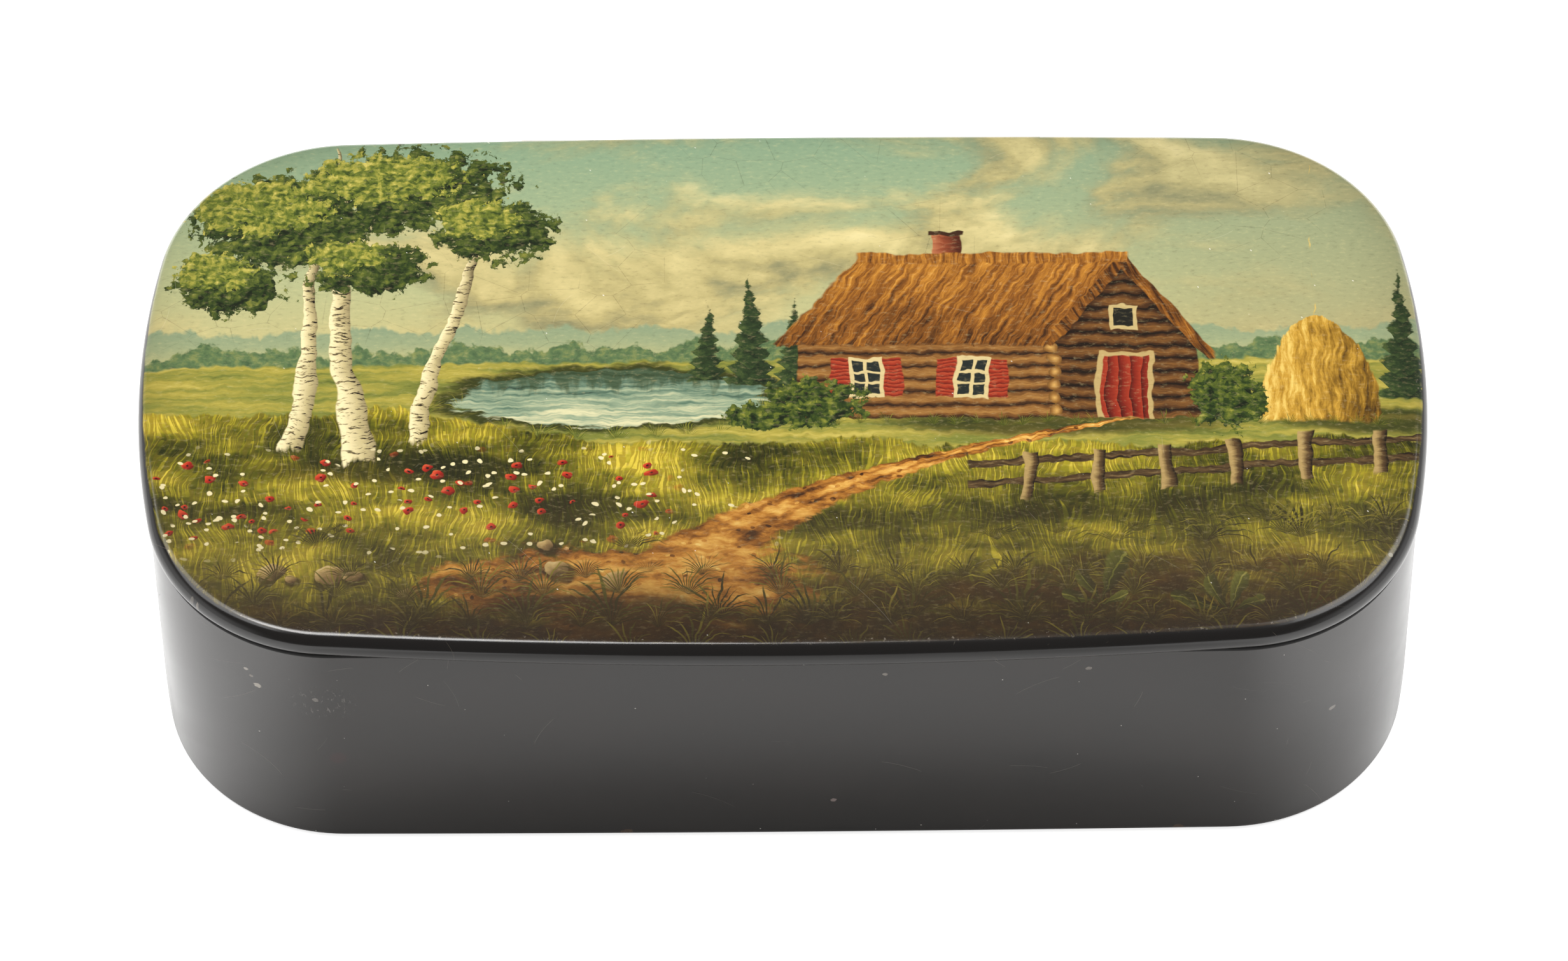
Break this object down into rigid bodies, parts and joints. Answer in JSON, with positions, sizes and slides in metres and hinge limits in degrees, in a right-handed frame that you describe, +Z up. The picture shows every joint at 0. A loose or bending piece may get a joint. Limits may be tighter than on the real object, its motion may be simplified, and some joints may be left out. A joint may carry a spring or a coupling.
{
  "type": "lacquer box",
  "caption": "Oblong papier-mache lacquer box with rounded corners and a crowned, painted lid on a let-in brass hinge, for keeping small things.",
  "frame": {"origin": "middle of the flat foot, on the surface that the box stands on", "axes": "+X along the box's length, +Y from the front to the hinged back, +Z up"},
  "size_m": [0.16, 0.0839, 0.0424],
  "materials": {
    "black_lacquer": "gloss",
    "red_lacquer": "gloss",
    "painted_lacquer": "gloss",
    "brass": "satin"
  },
  "bodies": {
    "body": {"body_wall": "black_lacquer", "base_board": "black_lacquer", "inner_collar": "red_lacquer", "body_hinge_leaf": "brass", "body_knuckles": "brass", "hinge_pin": "brass", "body_leaf_nails": "brass"},
    "lid": {"lid_board": "painted_lacquer", "lid_hinge_leaf": "brass", "lid_knuckles": "brass", "lid_leaf_nails": "brass"}
  },
  "joints": [
    {"name": "lid_hinge", "type": "hinge", "parent": "body", "child": "lid", "pos_m": [0, 0.04025, 0.03795], "axis": [-1, 0, 0], "range_deg": [0, 105]}
  ]
}
